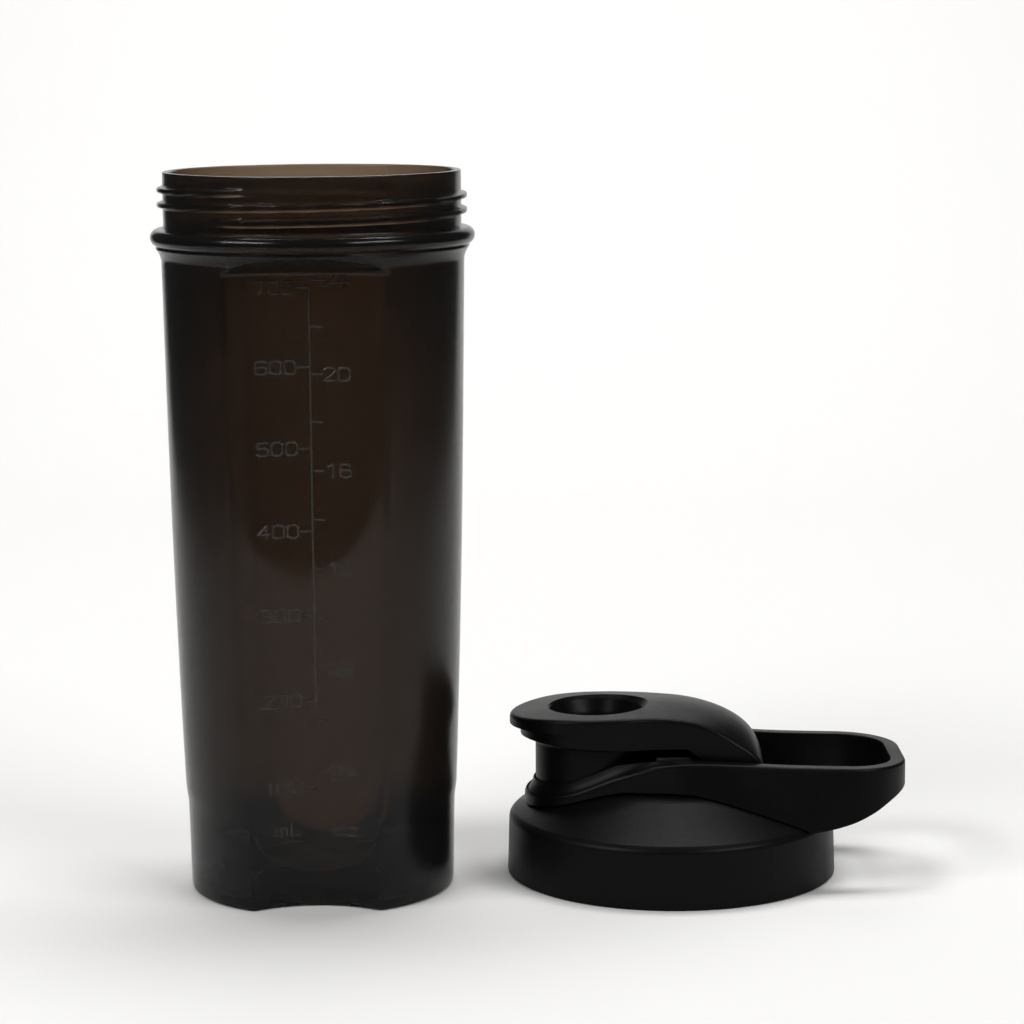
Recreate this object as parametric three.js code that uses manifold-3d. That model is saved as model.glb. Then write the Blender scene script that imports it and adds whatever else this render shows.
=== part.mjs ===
// Protein shaker bottle: an open cup with its screw lid standing beside it on the same surface.
// Millimetres, +Z up. The origin is at the bottom centre of the whole set's box: the cup stands to
// the left (-X), the lid to the right (+X), and -Y is the front, where the cup's scale is.
import * as THREE from 'three';
import { mergeVertices } from 'three/addons/utils/BufferGeometryUtils.js';
import Module from 'manifold-3d';

const wasm = await Module();
wasm.setup();

// ---------------------------------------------------------------- driving dimensions
const GAP = 0.3;               // clearance between pieces that touch on the real object
const ROUND = 48;              // facets of a turned piece
const SMALL_ROUND = 36;        // facets of a small turned piece

// Cup, measured from the centre of its base
const CUP_HEIGHT = 203;
const CUP_WALL = 2.2;
const CUP_FLOOR = 7;           // inside floor
const FLOOR_FILLET = 20;       // inside corner between floor and wall
const BASE_RECESS = { radius: 23.5, depth: 4.4 };
const BODY_LINE = [[37.3, 1.4], [37.5, 7], [37.9, 25], [38.5, 30], [40.2, 81], [41.2, 124], [42, 172]];
const BEAD = { radius: 45.1, bottom: 182.5, top: 187.3, fillet: 2.4 };
const NECK = { outer: 41.4, inner: 39.8 };
const CUP_THREAD = { crest: 43, pitch: 4.1, turns: 2.05, start: 190.4, startAngle: -127.5 };

// Concave grip panels, front and back: each is cut by an oblique cone whose round sections grow upwards
const PANEL = { top: 176, runOut: 181, radiusBase: 28.8, radiusTop: 52.7, axisBase: 55.9, axisTop: 83.2,
  retreat: 12.6 };

// Lid, measured from the centre of its skirt, with the carrying loop towards +X
const LID_OFFSET = { x: 100.3, y: 12 };   // from the axis of the cup
const SKIRT = { foot: 47.3, top: 46.8, inner: 43.6, height: 16.6, roof: 15.9 };
const DOME = { cornerRadius: 45.5, cornerZ: 18, flatRadius: 27.2, flatZ: 27.2, wall: 2.2 };
const GRID_RIB = { outer: 36.4, inner: 35, bottom: 11.5 };
const LID_THREAD = { crest: 41.9, pitch: 4.1, turns: 1.6, start: 3.4, startAngle: 22.5 };
const SPOUT = { x: -21.6, root: 17.4, bore: 14.8, neck: 17.5, lip: 18.8, lipBottom: 40.3, top: 42.3 };

// Carrying loop: a wall that runs round the spout and out past the skirt
const LOOP = { halfWidth: 25, wall: 4.2, end: 66.7, corner: 17, collar: 20.7, flare: 4, ramp: 3.8 };
const LOOP_TOP = [[-43, 23.4], [-30, 25.6], [-15.5, 31.6], [-4.2, 35.4], [7, 36.3], [35, 35], [67, 34.2]];
const LOOP_UNDERSIDE = [[28, 14], [34, 16.8], [40, 17], [49, 19], [56.4, 21.8], [61, 24.1], [67, 27]];

// Flip cap and its hinge
const HINGE = { x: 20.4, z: 33.4, pin: 1.25, barrel: 5.2, halfWidth: 20.2, pinReach: 23.4 };
const CAP = { nose: 24.9, rim: 21.8, under: 42.8, ledge: 43.6, thickness: 2.4, lipClearance: 0.4 };
const CAP_HALF_WIDTH = [
  [-21.6, 20.9], [-14, 20.3], [-6, 18.9], [0, 18.6], [6, 18.8], [14, 19.7], [20, 20.2], [27, 20.2],
];
const CAP_SKIRT = { frontBottom: 40.6, start: -27, end: 4, bottom: 39.2 };
const CAP_CREST = [[-46.5, 46.5], [-34, 48.1], [-21, 48.7], [-8, 49.1], [2, 49.1]];
const CAP_FALL = [
  [-46.5, 0.5], [-21, 0.6], [-8, 1.1], [0, 1.8], [6, 2.6],
  [11, 3.4], [15, 4], [19, 4.3], [26, 3],
];
const CAP_REAR = { height: 15.7, clearance: 0.4 };      // crest above the hinge axis, gap behind the barrel
const RECESS = { mouth: 13.6, floorRadius: 10.2, floor: 39 };
const PLUG = { radius: 11.9, foot: 12.6, bottom: 36.2, footTop: 36.9 };
const SEAL = { inner: 12.25, outerBottom: 13.2, outerTop: 13.9, bottom: 37.2, top: 41.6 };

// Pieces inside the lid
const GASKET = { inner: 39.4, outer: 41.5, bottom: 13.8 };
const GRID = { outer: 38.2, wall: 1.5, bottom: 8.6, plate: 1.8, rib: 2 };
const GRID_ROWS = [
  { inner: 6, outer: 14, count: 6 },
  { inner: 16, outer: 24, count: 10 },
  { inner: 26, outer: 34, count: 16 },
];

// ---------------------------------------------------------------- materials
const plastic = (color, roughness) => new THREE.MeshStandardMaterial({ color, roughness, metalness: 0 });
const smokePlastic = new THREE.MeshPhysicalMaterial({
  color: 0x4a3a2c, roughness: 0.12, metalness: 0, transmission: 0.8, thickness: 2.2,
});
const blackPlastic = () => plastic(0x17171a, 0.38);
const silicone = () => plastic(0x2b2b2e, 0.7);

// ---------------------------------------------------------------- helpers
// A closed mesh as a solid for cutting and joining: shared vertices, no empty triangles, faces outwards.
function solid(geometry) {
  geometry.deleteAttribute('normal');
  geometry.deleteAttribute('uv');
  const merged = mergeVertices(geometry);
  const position = merged.attributes.position.array;
  const index = merged.index.array;
  const triangles = [];
  let volume = 0;
  for (let i = 0; i < index.length; i += 3) {
    const [a, b, c] = [index[i], index[i + 1], index[i + 2]];
    if (a === b || b === c || c === a) continue;
    triangles.push(a, b, c);
    const [A, B, C] = [a, b, c].map((v) => new THREE.Vector3().fromArray(position, 3 * v));
    volume += A.dot(B.cross(C));
  }
  if (volume < 0) triangles.reverse();
  const vertProperties = new Float32Array(position);
  const triVerts = new Uint32Array(triangles);
  return new wasm.Manifold(new wasm.Mesh({ numProp: 3, vertProperties, triVerts }));
}

// A solid of revolution about Z, from [radius, z] points that start and end on the axis.
function turned(points, segments = ROUND) {
  const profile = points.map(([r, z]) => new THREE.Vector2(r, z));
  return solid(new THREE.LatheGeometry(profile, segments).rotateX(Math.PI / 2));
}

// A solid ring of revolution with a closed [radius, z] section.
function turnedRing(points, segments = ROUND) {
  return turned([...points, points[0]], segments);
}

// A solid through equal rings of points, with flat ends, or joined end to end when it is closed.
function loft(rings, closed = false) {
  const count = rings[0].length;
  const vertices = rings.flat(2);
  const index = [];
  const last = closed ? rings.length : rings.length - 1;
  for (let i = 0; i < last; i += 1) {
    const j = (i + 1) % rings.length;
    for (let k = 0; k < count; k += 1) {
      const n = (k + 1) % count;
      index.push(i * count + k, j * count + k, j * count + n);
      index.push(i * count + k, j * count + n, i * count + n);
    }
  }
  if (!closed) {
    const end = (rings.length - 1) * count;
    for (let k = 1; k < count - 1; k += 1) {
      index.push(0, k, k + 1);
      index.push(end, end + k + 1, end + k);
    }
  }
  const geometry = new THREE.BufferGeometry();
  geometry.setAttribute('position', new THREE.Float32BufferAttribute(vertices, 3));
  geometry.setIndex(index);
  return solid(geometry);
}

// A flat outline in X and Y, raised from z = bottom to z = top.
function raised(shape, bottom, top, curveSegments = 12) {
  const options = { depth: top - bottom, bevelEnabled: false, curveSegments };
  return solid(new THREE.ExtrudeGeometry(shape, options).translate(0, 0, bottom));
}

// A side outline in X and Z, widened to -halfWidth..halfWidth along Y.
function widened(shape, halfWidth, curveSegments = 12) {
  const options = { depth: 2 * halfWidth, bevelEnabled: false, curveSegments };
  return solid(new THREE.ExtrudeGeometry(shape, options).rotateX(Math.PI / 2).translate(0, halfWidth, 0));
}

// Height (or radius) at x on a smooth line through [x, value] points.
function lineAt(points, x) {
  const last = points.length - 1;
  if (x <= points[0][0]) return points[0][1];
  if (x >= points[last][0]) return points[last][1];
  const i = points.findIndex((p, k) => k < last && x <= points[k + 1][0]);
  const slope = (k) => {
    const a = points[Math.max(k - 1, 0)];
    const b = points[Math.min(k + 1, last)];
    return (b[1] - a[1]) / (b[0] - a[0]);
  };
  const width = points[i + 1][0] - points[i][0];
  const t = (x - points[i][0]) / width;
  const rise = t * t * (3 - 2 * t);
  const start = t * (1 - t) * (1 - t) * width * slope(i);
  const end = -t * t * (1 - t) * width * slope(i + 1);
  return points[i][1] * (1 - rise) + points[i + 1][1] * rise + start + end;
}

// A screw ridge, rooted just inside the wall it stands on, that runs out to nothing at both ends.
function screwRidge({ root, crest, pitch, turns, start, startAngle }) {
  const steps = Math.round(turns * ROUND);
  const fade = 3;
  const rings = [];
  for (let i = 0; i <= steps; i += 1) {
    const turn = i / ROUND;
    const angle = THREE.MathUtils.degToRad(startAngle) + 2 * Math.PI * turn;
    const z = start + pitch * turn;
    const height = Math.min(1, (i + 0.3) / fade, (steps - i + 0.3) / fade);
    const top = root + (crest - root) * height;
    const section = [[root, -1.15], [top, -0.45], [top, 0.45], [root, 1.15]];
    rings.push(section.map(([r, dz]) => [r * Math.cos(angle), r * Math.sin(angle), z + dz]));
  }
  return loft(rings);
}

function mesh(name, body, material) {
  const { vertProperties, triVerts } = body.getMesh();
  const geometry = new THREE.BufferGeometry();
  geometry.setAttribute('position', new THREE.Float32BufferAttribute(vertProperties, 3));
  geometry.setIndex(new THREE.Uint32BufferAttribute(triVerts, 1));
  geometry.computeVertexNormals();
  const piece = new THREE.Mesh(geometry, material);
  piece.name = name;
  return piece;
}

// ---------------------------------------------------------------- cup
// The oblique cone of one grip panel, which leaves the body at the top. Grown by the wall, it also shapes
// the inside.
function panelCutter(side, grow) {
  const lift = grow * 0.8;
  const levels = [[-2, 0], [PANEL.top, 0]];
  for (const t of [0.32, 0.68, 1]) {
    levels.push([THREE.MathUtils.lerp(PANEL.top, PANEL.runOut, t), PANEL.retreat * t ** 2]);
  }
  const steps = 14;
  const spread = THREE.MathUtils.degToRad(44);
  const rings = levels.map(([level, retreat]) => {
    const t = Math.min(level, PANEL.top) / PANEL.top;
    const radius = THREE.MathUtils.lerp(PANEL.radiusBase, PANEL.radiusTop, t) + grow;
    const axis = THREE.MathUtils.lerp(PANEL.axisBase, PANEL.axisTop, t) + retreat;
    const z = level + (level > 0 ? lift : 0);
    const ring = [];
    for (let k = 0; k <= steps; k += 1) {
      const a = spread * ((2 * k) / steps - 1);
      ring.push([radius * Math.sin(a), side * (axis - radius * Math.cos(a)), z]);
    }
    ring.push([radius * Math.sin(spread), side * 60, z], [-radius * Math.sin(spread), side * 60, z]);
    return ring;
  });
  return loft(rings);
}

function quarter(centreR, centreZ, radius, from, to, steps) {
  const points = [];
  for (let i = 0; i <= steps; i += 1) {
    const a = THREE.MathUtils.degToRad(from + ((to - from) * i) / steps);
    points.push([centreR + radius * Math.cos(a), centreZ + radius * Math.sin(a)]);
  }
  return points;
}

function cupOuter() {
  const bodyTop = BODY_LINE[BODY_LINE.length - 1];
  const beadRound = (BEAD.top - BEAD.bottom) / 2;
  return turned([
    [0, BASE_RECESS.depth],
    [BASE_RECESS.radius - 0.8, BASE_RECESS.depth],
    [BASE_RECESS.radius, 0],
    [36, 0],
    ...BODY_LINE,
    [bodyTop[0] + 0.1, BEAD.bottom - 2 * BEAD.fillet],
    ...quarter(bodyTop[0] + 0.2 + BEAD.fillet, BEAD.bottom - BEAD.fillet, BEAD.fillet, 180, 110, 3),
    ...quarter(BEAD.radius - beadRound, BEAD.bottom + beadRound, beadRound, -60, 60, 4),
    [NECK.outer, BEAD.top],
    [NECK.outer, CUP_HEIGHT - 0.6],
    [NECK.outer - 0.6, CUP_HEIGHT],
    [0, CUP_HEIGHT],
  ]);
}

function cupInner() {
  const innerLine = BODY_LINE.slice(2).map(([r, z]) => [r - CUP_WALL, z]);
  const wallFoot = innerLine[0][0];
  const floorEdge = quarter(wallFoot - FLOOR_FILLET, CUP_FLOOR + FLOOR_FILLET, FLOOR_FILLET, -90, -8, 6);
  return turned([
    [0, CUP_FLOOR],
    ...floorEdge,
    ...innerLine,
    [NECK.inner, BEAD.top],
    [NECK.inner, CUP_HEIGHT + 1],
    [0, CUP_HEIGHT + 1],
  ]);
}

function cupBody() {
  let outer = cupOuter();
  let inner = cupInner();
  for (const side of [-1, 1]) {
    outer = outer.subtract(panelCutter(side, 0));
    inner = inner.subtract(panelCutter(side, CUP_WALL));
  }
  const thread = screwRidge({ ...CUP_THREAD, root: NECK.outer - 0.5 });
  return mesh('cup_body', outer.add(thread).subtract(inner), smokePlastic);
}

// ---------------------------------------------------------------- lid
const domeSlope = (DOME.flatZ - DOME.cornerZ) / (DOME.cornerRadius - DOME.flatRadius);

function lidShell() {
  const underside = (r) => DOME.cornerZ + domeSlope * (DOME.cornerRadius - r) - DOME.wall * 1.1;
  return turned([
    [0, DOME.flatZ - DOME.wall],
    [DOME.flatRadius - 1, DOME.flatZ - DOME.wall],
    [GRID_RIB.inner, underside(GRID_RIB.inner)],
    [GRID_RIB.inner, GRID_RIB.bottom],
    [GRID_RIB.outer, GRID_RIB.bottom],
    [GRID_RIB.outer, SKIRT.roof],
    [SKIRT.inner, SKIRT.roof],
    [SKIRT.inner, 0],
    [SKIRT.foot - 0.4, 0],
    [SKIRT.foot, 0.8],
    [SKIRT.top, SKIRT.height],
    [DOME.cornerRadius, DOME.cornerZ],
    [DOME.flatRadius, DOME.flatZ],
    [0, DOME.flatZ],
  ]);
}

// Plain cylinder about the spout's axis.
function spoutCylinder(radius, bottom, top) {
  const outline = [[0, bottom], [radius, bottom], [radius, top], [0, top]];
  return turned(outline, SMALL_ROUND).translate([SPOUT.x, 0, 0]);
}

function pourSpout() {
  const body = turnedRing([
    [SPOUT.bore, SPOUT.root],
    [SPOUT.neck, SPOUT.root],
    [SPOUT.neck, SPOUT.lipBottom - 1.9],
    [SPOUT.lip - 0.3, SPOUT.lipBottom],
    [SPOUT.lip, SPOUT.lipBottom + 0.6],
    [SPOUT.lip, SPOUT.top - 0.6],
    [SPOUT.lip - 0.6, SPOUT.top],
    [SPOUT.bore + 0.8, SPOUT.top],
    [SPOUT.bore, SPOUT.top - 0.8],
  ], SMALL_ROUND).translate([SPOUT.x, 0, 0]);
  return mesh('pour_spout', body, blackPlastic());
}

function lidBody() {
  const thread = screwRidge({ ...LID_THREAD, root: SKIRT.inner + 0.5 });
  const spoutHole = spoutCylinder(SPOUT.neck + GAP, SPOUT.root - GAP, SPOUT.top);
  const body = lidShell().subtract(spoutHole).add(thread);
  return mesh('lid_body', body, blackPlastic());
}

// Outline of the loop seen from above: a round collar about the spout, straight sides and a rounded end.
function loopOutline(inset, collar) {
  const half = LOOP.halfWidth - inset;
  const end = LOOP.end - inset;
  const corner = LOOP.corner - inset;
  const turn = THREE.MathUtils.degToRad(105);
  const joinX = SPOUT.x + collar * Math.cos(turn);
  const joinY = collar * Math.sin(turn);
  const lead = 9;
  const leadX = joinX + lead * Math.sin(turn);
  const leadY = joinY - lead * Math.cos(turn);
  const path = new THREE.Path();
  path.moveTo(end, 0);
  path.lineTo(end, half - corner);
  path.absarc(end - corner, half - corner, corner, 0, Math.PI / 2, false);
  path.lineTo(2, half);
  path.bezierCurveTo(-8, half, leadX, leadY, joinX, joinY);
  path.absarc(SPOUT.x, 0, collar, turn, 2 * Math.PI - turn, false);
  path.bezierCurveTo(leadX, -leadY, -8, -half, 2, -half);
  path.lineTo(end - corner, -half);
  path.absarc(end - corner, corner - half, corner, -Math.PI / 2, 0, false);
  path.lineTo(end, 0);
  return path;
}

// The wall's foot spreads where the loop leaves the dome.
function loopFlare(x) {
  return 1 + (LOOP.flare / LOOP.halfWidth) * Math.max(0, 1 - ((x - 30) / 32) ** 2);
}

// Around the spout the top of the wall ramps up to the neck; the ramp runs out towards the hinge.
function loopRamp(x) {
  return LOOP.ramp * THREE.MathUtils.clamp(-x / 16, 0, 1);
}

function carryLoop() {
  const steps = 96;
  const outside = loopOutline(0, LOOP.collar).getSpacedPoints(steps);
  const inside = loopOutline(LOOP.wall, SPOUT.neck + GAP + 0.1).getSpacedPoints(steps);
  const rings = [];
  for (let i = 0; i < steps; i += 1) {
    const [o, n] = [outside[i], inside[i]];
    const foot = lineAt(LOOP_UNDERSIDE, o.x);
    rings.push([
      [o.x, o.y * loopFlare(o.x), foot],
      [o.x, o.y, lineAt(LOOP_TOP, o.x)],
      [n.x, n.y, lineAt(LOOP_TOP, n.x) + loopRamp(n.x)],
      [n.x, n.y, lineAt(LOOP_UNDERSIDE, n.x)],
    ]);
  }
  const lidUnder = turned([
    [0, 5],
    [SKIRT.foot + GAP, 5],
    [SKIRT.top + GAP, SKIRT.height + GAP],
    [DOME.cornerRadius, DOME.cornerZ + GAP + 0.1],
    [DOME.flatRadius, DOME.flatZ + GAP],
    [0, DOME.flatZ + GAP],
  ]);
  const pinHole = pinRod(HINGE.pin + GAP, HINGE.pinReach + GAP);
  const body = loft(rings, true).subtract(lidUnder).subtract(pinHole);
  return mesh('carry_loop', body, blackPlastic());
}

// ---------------------------------------------------------------- flip cap
// A rod along the hinge axis.
function pinRod(radius, halfLength) {
  const rod = new THREE.CylinderGeometry(radius, radius, 2 * halfLength, 16);
  return solid(rod).translate([HINGE.x, 0, HINGE.z]);
}

// Half-width of the cap at x: an elliptical nose, then the arm, which widens again at the barrel.
function capHalfWidth(x, nose) {
  const reach = (SPOUT.x - x) / nose;
  const widest = CAP_HALF_WIDTH[0][1];
  if (reach > 0) return widest * Math.sqrt(Math.max(0, 1 - reach ** 2));
  return lineAt(CAP_HALF_WIDTH, x);
}

function capPlan(nose) {
  const rear = HINGE.x + HINGE.barrel + 1;
  const side = [];
  for (let degrees = 6; degrees < 90; degrees += 7) {
    const x = SPOUT.x - nose * Math.cos(THREE.MathUtils.degToRad(degrees));
    side.push([x, capHalfWidth(x, nose)]);
  }
  for (let x = SPOUT.x; x < rear; x += 4) side.push([x, capHalfWidth(x, nose)]);
  side.push([rear, capHalfWidth(rear, nose)]);
  const plan = new THREE.Shape();
  plan.moveTo(SPOUT.x - nose, 0);
  side.forEach(([x, y]) => plan.lineTo(x, -y));
  side.reverse().forEach(([x, y]) => plan.lineTo(x, y));
  return plan;
}

// Side view of the cap: its skirt deepens towards the arm, and the barrel closes the rear.
function capSide() {
  const front = SPOUT.x - CAP.nose - 1;
  const side = new THREE.Shape();
  side.moveTo(front, CAP_SKIRT.frontBottom);
  side.lineTo(SPOUT.x - CAP.rim + 2, CAP_SKIRT.frontBottom);
  side.lineTo(CAP_SKIRT.start + 12, CAP_SKIRT.bottom);
  side.lineTo(CAP_SKIRT.end, CAP_SKIRT.bottom);
  side.lineTo(CAP_SKIRT.end + 2, CAP_SKIRT.bottom - 1.6);
  side.lineTo(CAP_SKIRT.end + 5, CAP_SKIRT.bottom - 3.4);
  side.absarc(HINGE.x, HINGE.z, HINGE.barrel, THREE.MathUtils.degToRad(215), 2 * Math.PI, false);
  side.lineTo(HINGE.x + HINGE.barrel, 60);
  side.lineTo(front, 60);
  return side;
}

// Height of the cap's middle line: level over the spout, then an elliptical fall to the rear of the barrel.
function capCrest(x) {
  const start = CAP_CREST[CAP_CREST.length - 1][0];
  const reach = HINGE.x + HINGE.barrel - start + CAP_REAR.clearance;
  if (x <= start) return lineAt(CAP_CREST, x);
  return HINGE.z + CAP_REAR.height * Math.sqrt(Math.max(0, 1 - ((x - start) / reach) ** 2));
}

function capCrown() {
  const rings = [];
  const first = SPOUT.x - CAP.nose - 1;
  const last = HINGE.x + HINGE.barrel;
  const steps = 22;
  const across = 8;
  for (let i = 0; i <= steps; i += 1) {
    const x = first + (last - first) * Math.sin((Math.PI / 2) * (i / steps));
    const ring = [[x, 26, 20], [x, -26, 20]];
    for (let k = 0; k <= across; k += 1) {
      const y = -26 + (52 * k) / across;
      ring.push([x, y, capCrest(x) - lineAt(CAP_FALL, x) * (y / HINGE.halfWidth) ** 2]);
    }
    rings.push(ring);
  }
  return loft(rings);
}

function capPlug() {
  return turned([
    [0, PLUG.bottom],
    [PLUG.foot - 0.5, PLUG.bottom],
    [PLUG.foot, PLUG.footTop],
    [PLUG.radius, PLUG.footTop],
    [PLUG.radius, CAP.under + 1],
    [0, CAP.under + 1],
  ], SMALL_ROUND).translate([SPOUT.x, 0, 0]);
}

function capRecess() {
  return turned([
    [0, RECESS.floor],
    [RECESS.floorRadius - 1.5, RECESS.floor],
    [RECESS.floorRadius, RECESS.floor + 1.5],
    [RECESS.floorRadius + 0.6, CAP.under + 0.5],
    [RECESS.mouth - 1, 46.2],
    [RECESS.mouth + 1, 50],
    [0, 50],
  ], SMALL_ROUND).translate([SPOUT.x, 0, 0]);
}

// Hollow under the cap: round over the lip of the spout, then a channel between the side skirts.
function capHollow() {
  const overLip = turned([
    [0, 30],
    [SPOUT.lip + CAP.lipClearance, 30],
    [SPOUT.lip + CAP.lipClearance, CAP.under],
    [0, CAP.under],
  ], SMALL_ROUND).translate([SPOUT.x, 0, 0]);
  const channel = new THREE.Shape();
  channel.moveTo(SPOUT.x + 10, 30);
  channel.lineTo(CAP_SKIRT.end + 3, 30);
  channel.lineTo(CAP_SKIRT.end + 3, CAP.under + 1.2);
  channel.lineTo(SPOUT.x + 22, CAP.under + 1.2);
  channel.lineTo(SPOUT.x + 10, CAP.under - 0.5);
  return overLip.add(widened(channel, CAP_HALF_WIDTH[3][1] - CAP.thickness));
}

function flipCap() {
  const ledge = raised(capPlan(CAP.nose), CAP.ledge, 60, 20);
  const skirt = raised(capPlan(CAP.rim), 20, CAP.ledge + 0.5, 20);
  const body = widened(capSide(), 26)
    .intersect(ledge.add(skirt))
    .intersect(capCrown())
    .subtract(capHollow())
    .add(capPlug())
    .subtract(capRecess())
    .subtract(pinRod(HINGE.pin + GAP, LOOP.halfWidth));
  return mesh('flip_cap', body, blackPlastic());
}

function hingePin() {
  return mesh('hinge_pin', pinRod(HINGE.pin, HINGE.pinReach), plastic(0x1d1d20, 0.45));
}

function spoutSeal() {
  const body = turnedRing([
    [SEAL.inner, SEAL.bottom],
    [SEAL.outerBottom - 0.3, SEAL.bottom],
    [SEAL.outerBottom, SEAL.bottom + 0.5],
    [SEAL.outerTop, SEAL.top - 0.4],
    [SEAL.outerTop - 0.4, SEAL.top],
    [SEAL.inner, SEAL.top],
  ], SMALL_ROUND).translate([SPOUT.x, 0, 0]);
  return mesh('spout_seal', body, silicone());
}

// ---------------------------------------------------------------- inside the lid
function lidGasket() {
  const top = SKIRT.roof - GAP;
  const body = turnedRing([
    [GASKET.inner, GASKET.bottom + 0.4],
    [GASKET.inner + 0.5, GASKET.bottom],
    [GASKET.outer - 0.5, GASKET.bottom],
    [GASKET.outer, GASKET.bottom + 0.4],
    [GASKET.outer, top],
    [GASKET.inner, top],
  ]);
  return mesh('lid_gasket', body, silicone());
}

// One opening of the strainer: a piece of a ring, between two radii and two angles.
function ringOpening(inner, outer, middle, half) {
  const hole = new THREE.Shape();
  hole.absarc(0, 0, outer, middle - half, middle + half, false);
  hole.absarc(0, 0, inner, middle + half, middle - half, true);
  return raised(hole, GRID.bottom - 1, GRID.bottom + GRID.plate + 1, 3);
}

function mixingGrid() {
  const plateTop = GRID.bottom + GRID.plate;
  const rimTop = SKIRT.roof - GAP;
  let body = turned([
    [0, GRID.bottom],
    [GRID.outer, GRID.bottom],
    [GRID.outer, rimTop],
    [GRID.outer - GRID.wall, rimTop],
    [GRID.outer - GRID.wall, plateTop],
    [0, plateTop],
  ]);
  for (const { inner, outer, count } of GRID_ROWS) {
    const half = Math.PI / count - GRID.rib / (inner + outer);
    for (let i = 0; i < count; i += 1) {
      body = body.subtract(ringOpening(inner, outer, (2 * Math.PI * i) / count, half));
    }
  }
  return mesh('mixing_grid', body, plastic(0x202024, 0.5));
}

// ---------------------------------------------------------------- assembly
const spread = {
  left: -BEAD.radius,
  right: LID_OFFSET.x + LOOP.end,
  front: -BEAD.radius,
  back: LID_OFFSET.y + SKIRT.foot,
};

const cup = new THREE.Group();
cup.add(cupBody());
cup.position.set(-(spread.left + spread.right) / 2, -(spread.front + spread.back) / 2, 0);

const lid = new THREE.Group();
lid.add(lidBody(), pourSpout(), carryLoop(), hingePin(), lidGasket(), mixingGrid(), flipCap(), spoutSeal());
lid.position.set(cup.position.x + LID_OFFSET.x, cup.position.y + LID_OFFSET.y, 0);

const group = new THREE.Group();
group.add(cup, lid);

export default group;
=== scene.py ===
import math

import bmesh
import bpy
import numpy as np
from mathutils import Matrix, Vector
from mathutils.geometry import delaunay_2d_cdt


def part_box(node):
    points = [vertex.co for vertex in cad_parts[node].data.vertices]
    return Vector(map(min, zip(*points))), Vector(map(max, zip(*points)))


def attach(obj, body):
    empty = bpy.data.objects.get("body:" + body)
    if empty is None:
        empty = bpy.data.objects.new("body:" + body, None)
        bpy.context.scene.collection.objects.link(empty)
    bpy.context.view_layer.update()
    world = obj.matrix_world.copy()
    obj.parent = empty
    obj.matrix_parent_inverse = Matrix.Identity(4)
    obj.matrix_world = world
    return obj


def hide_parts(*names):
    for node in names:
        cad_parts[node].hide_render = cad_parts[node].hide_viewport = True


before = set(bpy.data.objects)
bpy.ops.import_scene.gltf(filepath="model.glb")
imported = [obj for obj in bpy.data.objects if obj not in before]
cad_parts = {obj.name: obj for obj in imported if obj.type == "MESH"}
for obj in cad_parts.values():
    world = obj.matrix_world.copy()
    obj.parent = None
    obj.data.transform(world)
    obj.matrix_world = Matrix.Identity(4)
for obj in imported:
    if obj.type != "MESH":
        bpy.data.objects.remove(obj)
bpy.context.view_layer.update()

MM = 0.001


def axis_of(node):
    """The vertical axis of a round CAD node, in metres at floor level."""
    low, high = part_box(node)
    return Vector(((low.x + high.x) / 2, (low.y + high.y) / 2, 0))


CUP = axis_of("cup_body")
LID = axis_of("lid_body")

# ---------------------------------------------------------------- driving dimensions (as the CAD part's)
CUP_HEIGHT = 203
CUP_WALL = 2.2
CUP_FLOOR = 7
FLOOR_FILLET = 20
BASE_RECESS_RADIUS = 23.5
BASE_RECESS_DEPTH = 4.4
BASE_EDGE = 1.3
BODY_LINE = [                    # radius of the round body, from the base to the flare under the bead
    (0, 37.3), (7, 37.5), (25, 37.9), (30, 38.5),
    (81, 40.2), (124, 41.2), (172, 42.0), (178, 42.1),
]
FLARE_START = 178
FLARE_HEIGHT = 4
FLARE_REACH = 1.6
BEAD_RADIUS = 45.1
BEAD_BOTTOM = 182.5
BEAD_TOP = 187.3
NECK_OUTER = 41.4
NECK_INNER = 39.4
RIM_ROUND = 0.55
PITCH = 4.1
RIDGE_HALF = 1.25                # half the width of a screw ridge, and the width of its flank
RIDGE_FLANK = 0.8
CUP_THREAD = (1.6, 2.05, 190.4, -37.5)      # crest, turns, height of the start and its angle
LID_THREAD = (1.7, 1.6, 3.4, 112.5)

PANEL_TOP = 176
PANEL_RUN_OUT = 181
PANEL_RADIUS = (28.8, 52.7)      # at the base and at the top
PANEL_AXIS = (55.9, 83.2)
PANEL_RETREAT = 12.6             # how far the face runs outwards above PANEL_TOP
PANEL_BLEND = 0.5                # softness of a panel's edge, outside and inside
INNER_BLEND = 1.2
INNER_LIFT = 1.8                 # the inside follows the outside that much higher up

GAP = 0.3
DOME_CORNER = (45.5, 18.0)
DOME_FLAT = (27.2, 27.2)
DOME_SLOPE = (DOME_FLAT[1] - DOME_CORNER[1]) / (DOME_CORNER[0] - DOME_FLAT[0])
DOME_WALL = 2.2
SKIRT_FOOT = 47.3
SKIRT_TOP = (46.8, 16.6)
SKIRT_INNER = 43.6
SKIRT_ROOF = 15.9
RIB_INNER = 35                   # ring inside the lid that the strainer clips round
RIB_OUTER = 36.4
RIB_BOTTOM = 11.5
SPOUT_X = -21.6
SPOUT_BORE = 14.8
SPOUT_NECK = 17.5
SPOUT_LIP = 18.8
SPOUT_FOOT = 17.4
SPOUT_NECK_TOP = 38.4
SPOUT_LIP_BOTTOM = 40.3
SPOUT_TOP = 42.3

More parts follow.
